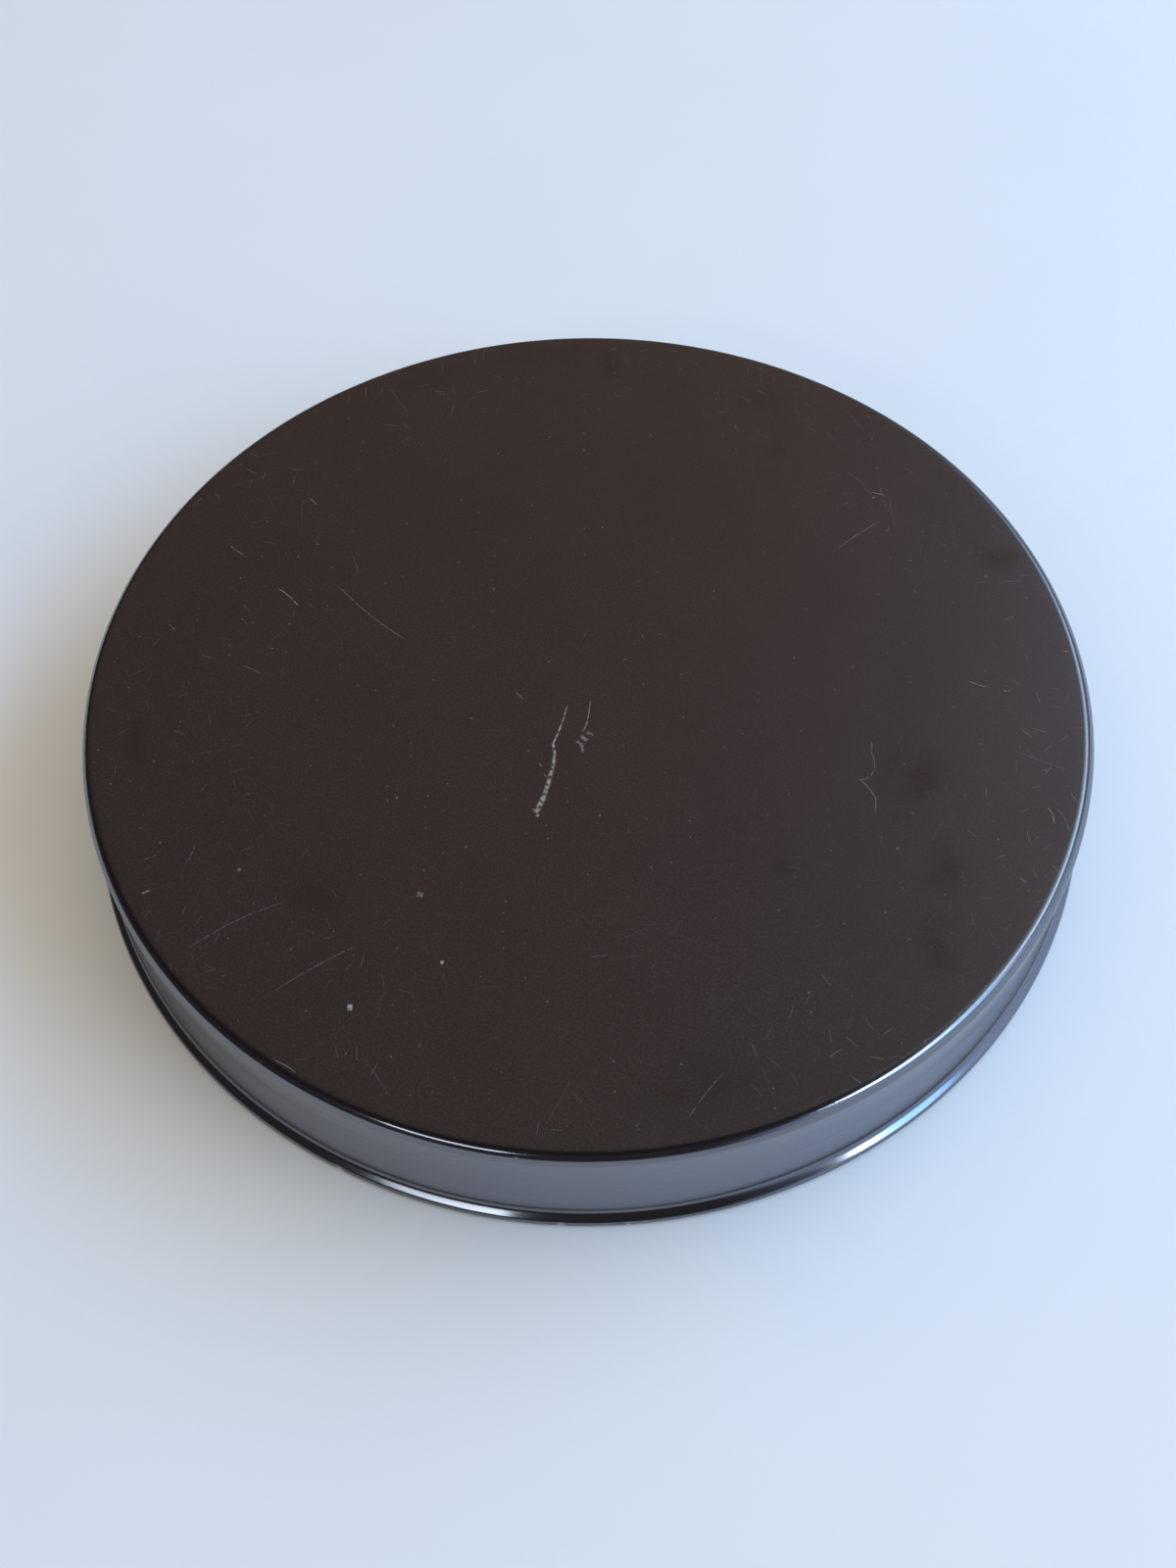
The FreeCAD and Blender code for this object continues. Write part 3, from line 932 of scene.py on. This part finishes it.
def glossy_resin(name, rubbed, painted_reflection_band):
    """Glossy moulded resin. rubbed(tree, place) says where it is rubbed dull, from 0 to 1, and the second
    function, given the height, says where a pale bluish colour is painted on it as its reflection of the
    table (painted reflection), where it is also a little duller."""
    def paint(tree):
        place = tree.place()
        streaks = tree.noise(tree.stretched(place, (0.03, 0.03, 1.0)), size=0.7, detail=3, roughness=0.6)
        cloud = tree.noise(place, size=14, detail=3)
        grain = tree.noise(place, size=0.35, detail=2)
        dust = tree.noise(place, size=0.5, detail=1).smooth(0.72, 0.80)
        rub = rubbed(tree, place)
        painted_reflection_share = painted_reflection_band(tree.split(place)[2])
        chip = tree.carried("chip", "Fac")
        colour = tree.mixed(rub * 0.7, resin_skin, resin_worn)
        # mixes in the painted reflection of the table along the skirt, streaked
        colour = tree.mixed(painted_reflection_share * tree.ranged(streaks, 0.3, 0.7, 0.85, 1.0), colour, painted_skirt_reflection)
        colour = tree.mixed(dust * 0.12, colour, resin_pale)
        shine = tree.ranged(streaks, 0.35, 0.7, 0.11, 0.16)
        return {
            "Base Color": tree.mixed(chip.smooth(0.05, 0.5), colour, resin_broken),
            "Roughness": shine + painted_reflection_share * 0.10 + rub * 0.3 + chip * 0.4,
            "IOR": gloss_index,
            "Specular Tint": gloss_tint,
            "Normal": tree.bump(cloud + streaks * 0.02 + grain * 0.01, depth=0.03, strength=0.5),
        }
    return painted(name, paint)


def lid_side_resin():
    """The lid's skirt, rim and inside, scuffed at its rounded edge, with a painted reflection of the table
    along the skirt.
    """
    def rubbed(tree, place):
        near_top = tree.split(place)[2].smooth(*wear_heights)
        scuff = tree.noise(place, size=1.6, detail=3, roughness=0.7).smooth(0.60, 0.72)
        patch = tree.noise(place, size=22, detail=1).smooth(0.45, 0.7)
        return near_top * scuff * patch

    # where the skirt carries the painted reflection of the table
    def painted_reflection_band(z):
        return z.smooth(*low_painted_reflection_heights) * z.smooth(*high_painted_reflection_heights)
    return glossy_resin("lid_side_resin", rubbed, painted_reflection_band)


def tray_resin():
    """The tray, rubbed in a ring under the reel's edge and along its foot."""
    def rubbed(tree, place):
        x, y, z = tree.split(place)
        radius = from_axis(x, y)
        inner_fade = radius.smooth(reel_radius - 4.4, reel_radius - 1.7)
        outer_fade = radius.smooth(reel_radius + 0.7, reel_radius - 0.3)
        ring = inner_fade * outer_fade * z.below(tray_floor_top + 5.5)
        scuff = tree.noise(tree.join(radius * 3, x * 0.2, y * 0.2), size=1.0, detail=3).smooth(0.4, 0.7)
        foot = z.smooth(0.25, 0.02)
        return (ring * scuff).most(foot * 0.8)

    # the tray carries no painted reflection
    def painted_reflection_band(z):
        return z * 0.0
    return glossy_resin("tray_resin_surface", rubbed, painted_reflection_band)


def ring_brushed(name, colour, rust, roughness=0.32, lines=0.16):
    """Sheet or turned steel with fine circular lines, smudges and a little rust."""
    def paint(tree):
        place = tree.place()
        x, y, _ = tree.split(place)
        rings = ringed(tree, x, y, 2)
        brushing = tree.noise(rings, size=lines, detail=3, roughness=0.7)
        coarse = tree.noise(rings, size=lines * 7, detail=2)
        smudge = tree.noise(place, size=16, detail=4, roughness=0.6)
        patches = tree.noise(place, size=25, detail=1).smooth(0.5, 0.75)
        spots = tree.noise(place, size=2.2, detail=4, roughness=0.7).smooth(0.66, 0.76) * patches
        scratch = hairlines(tree, place, cell=9.0, width=0.05, share=0.6)
        smudged = tuple(part * 0.78 for part in colour[:3]) + (1,)
        base = tree.mixed(smudge.smooth(0.3, 0.7), colour, smudged)
        base = tree.mixed(scratch * 0.5, base, steel_scratch)
        return {
            "Base Color": tree.mixed(spots * rust, base, rust_brown),
            "Metallic": 1.0 - spots * rust * 0.8,
            "Roughness": tree.ranged(smudge, 0.3, 0.7, roughness - 0.07, roughness + 0.1) + spots * 0.3,
            "Anisotropic": 0.5,
            "Tangent": tree.wire(tree.node("Tangent", {}, direction_type="RADIAL", axis="Z")),
            "Normal": tree.bump(brushing + coarse * 0.5 - scratch * 0.5, depth=0.012, strength=0.5),
        }
    return painted(name, paint)


def brass():
    """Dull brass, tarnished in small patches."""
    def paint(tree):
        place = tree.place()
        tarnish = tree.noise(place, size=1.1, detail=3, roughness=0.6).smooth(0.35, 0.7)
        return {
            "Base Color": tree.mixed(tarnish, brass_bright, brass_tarnished),
            "Metallic": 1.0,
            "Roughness": tree.ranged(tarnish, 0.0, 1.0, 0.25, 0.5),
            "Normal": tree.bump(tree.noise(place, size=0.25, detail=2), depth=0.02, strength=0.5),
        }
    return painted("rivet_brass_surface", paint)


def film_edges():
    """Edges of many turns of film: fine rings, with a few paler turns and dust."""
    def paint(tree):
        place = tree.place()
        x, y, _ = tree.split(place)
        rings = ringed(tree, x, y, 3)
        turns = tree.noise(rings, size=0.14, detail=1, roughness=0.8)
        bands = tree.noise(rings, size=4.5, detail=3, roughness=0.6)
        dust = tree.noise(place, size=0.5, detail=2).smooth(0.66, 0.76)
        dark = tree.mixed(bands.smooth(0.35, 0.7), film_dark, film_grey)
        colour = tree.mixed(turns.smooth(0.45, 0.8) * 0.6, dark, film_pale_turn)
        return {
            "Base Color": tree.mixed(dust * 0.15, colour, film_dust),
            "Roughness": tree.ranged(bands, 0.3, 0.7, 0.26, 0.42),
            "IOR": film_index,
            "Normal": tree.bump(turns, depth=0.03, strength=0.7),
        }
    return painted("film_edges", paint)


def leader_plastic():
    """White leader film, a little aged, with its turns showing as faint rings."""
    def paint(tree):
        place = tree.place()
        x, y, _ = tree.split(place)
        turns = tree.noise(ringed(tree, x, y, 3), size=0.14, detail=1, roughness=0.8)
        age = tree.noise(place, size=18, detail=4, roughness=0.6)
        dirt = tree.noise(place, size=1.2, detail=4, roughness=0.7).smooth(0.6, 0.8)
        colour = tree.mixed(age.smooth(0.3, 0.7), leader_white, leader_aged)
        colour = tree.mixed(turns.smooth(0.55, 0.75) * 0.5, colour, leader_turn)
        return {
            "Base Color": tree.mixed(dirt * 0.3, colour, leader_dirt),
            "Roughness": tree.ranged(age, 0.3, 0.7, 0.38, 0.5),
            "IOR": film_index,
            "Normal": tree.bump(turns, depth=0.03, strength=0.6),
        }
    return painted("leader_plastic", paint)


def crepe_paper():
    """Crepe paper tape, with fibres and uneven ageing."""
    def paint(tree):
        place = tree.place()
        fibre = tree.noise(tree.stretched(place, (1, 1, 6)), size=1.2, detail=4, roughness=0.7)
        age = tree.noise(place, size=7, detail=3)
        return {
            "Base Color": tree.mixed(age.smooth(0.3, 0.7), tape_light, tape_dark),
            "Roughness": tree.ranged(fibre, 0.3, 0.7, 0.6, 0.8),
            "Normal": tree.bump(fibre, depth=0.06, strength=0.8),
        }
    return painted("crepe_paper", paint)


def wound_profile(inner, outer, bottom, top, turn_step, slip, seed):
    """A wound ring's section: groups of turns that stand a little further in than others on both sides."""
    shuffle = random.Random(seed)
    steps = max(2, round((outer - inner) / turn_step))
    lower, upper = [(inner, bottom)], [(inner, top)]
    for index in range(steps):
        start = inner + (outer - inner) * index / steps
        end = inner + (outer - inner) * (index + 1) / steps
        shift = slip * shuffle.random() ** 2
        rise = slip * shuffle.random() ** 2
        lower += [(start, bottom + shift), (end, bottom + shift)]
        upper += [(start, top - rise), (end, top - rise)]
    lower.append((outer, bottom))
    upper.append((outer, top))
    return upper + lower[::-1]


def make_film():
    profile = wound_profile(tail_high.y + ring_gap, film_high.x, film_low.z, film_high.z,
                            turn_step=0.9, slip=0.22, seed=3)
    film = lathe("film_turns", profile, film_segments, sharp_angle=20)
    film.data.materials.append(film_edges())
    shown(film, "reel", "film", "film_roll")


def dress(node, material):
    """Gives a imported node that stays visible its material."""
    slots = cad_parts[node].data.materials
    slots.clear()
    slots.append(material)


def make_leaders():
    """The outer leader as wound turns, and the same white plastic on both leaders."""
    white = leader_plastic()
    profile = wound_profile(film_high.x + ring_gap, head_high.x, head_low.z, head_high.z,
                            turn_step=0.26, slip=0.12, seed=5)
    head = lathe("head_leader_turns", profile, film_segments, sharp_angle=20)
    head.data.materials.append(white)
    shown(head, "reel", "leader", "head_leader")
    dress("tail_leader", white)


def tape_points():
    """The strip's points, row by row: those on the leader, then the finely wrinkled outer ones."""
    inner = head_high.x + ring_gap
    outer = -tape_low.y
    half_angle = math.asin(tape_high.x / outer)
    points = []
    for outside in (False, True):
        for row in range(tape_rows + 1):
            height = tape_low.z + (tape_high.z - tape_low.z) * row / tape_rows
            for column in range(tape_columns + 1):
                angle = -math.pi / 2 + half_angle * (2 * column / tape_columns - 1)
                spot = Vector((angle * wrinkles_per_radian, height * wrinkles_per_height, 1))
                wrinkle = 0.5 + 0.5 * noise.noise(spot)
                radius = outer - wrinkle_depth * wrinkle if outside else inner
                points.append(Vector((radius * math.cos(angle), radius * math.sin(angle), height)))
    return points


def strip_faces(columns, rows):
    """Faces of a closed strip made of two layers of points, with that many squares each way."""
    width = columns + 1
    layer = width * (rows + 1)
    faces = []
    for row in range(rows):
        for column in range(columns):
            a = row * width + column
            faces.append((a + width, a + width + 1, a + 1, a))
            faces.append((layer + a, layer + a + 1, layer + a + width + 1, layer + a + width))
    border = list(range(width))
    border += [row * width + columns for row in range(1, rows + 1)]
    border += [rows * width + column for column in range(columns - 1, -1, -1)]
    border += [row * width for row in range(rows - 1, 0, -1)]
    for a, b in zip(border, border[1:] + border[:1]):
        faces.append((a, b, layer + b, layer + a))
    return faces


def make_tape():
    """A strip of crepe tape laid over the leader's end."""
    tape = make_mesh("tape_strip", tape_points(), strip_faces(tape_columns, tape_rows), sharp_angle=50)
    tape.data.materials.append(crepe_paper())
    shown(tape, "reel", "tape", "leader_tape")


def finish_nodes():
    """Gives the reel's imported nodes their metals."""
    flange_steel = ring_brushed("flange_steel_surface", flange_grey, rust=0.8)
    drum_steel = ring_brushed("drum_steel_surface", drum_grey, rust=0.5)
    bushing_steel = ring_brushed("bushing_steel_surface", bushing_grey, rust=0.3, roughness=0.28, lines=0.3)
    rivet_brass = brass()
    dress("hub_drum", drum_steel)
    for side in ("upper", "lower"):
        dress(side + "_flange", flange_steel)
        dress(side + "_spindle_bushing", bushing_steel)
        dress(side + "_rivets", rivet_brass)


camera = make_camera()
stroke = stroke_group()
hairline = hairline_group()
make_lights()
make_room()
make_floor()
make_lid()
make_tray()
make_film()
make_leaders()
make_tape()
finish_nodes()
bpy.context.scene.view_settings.view_transform = "Standard"
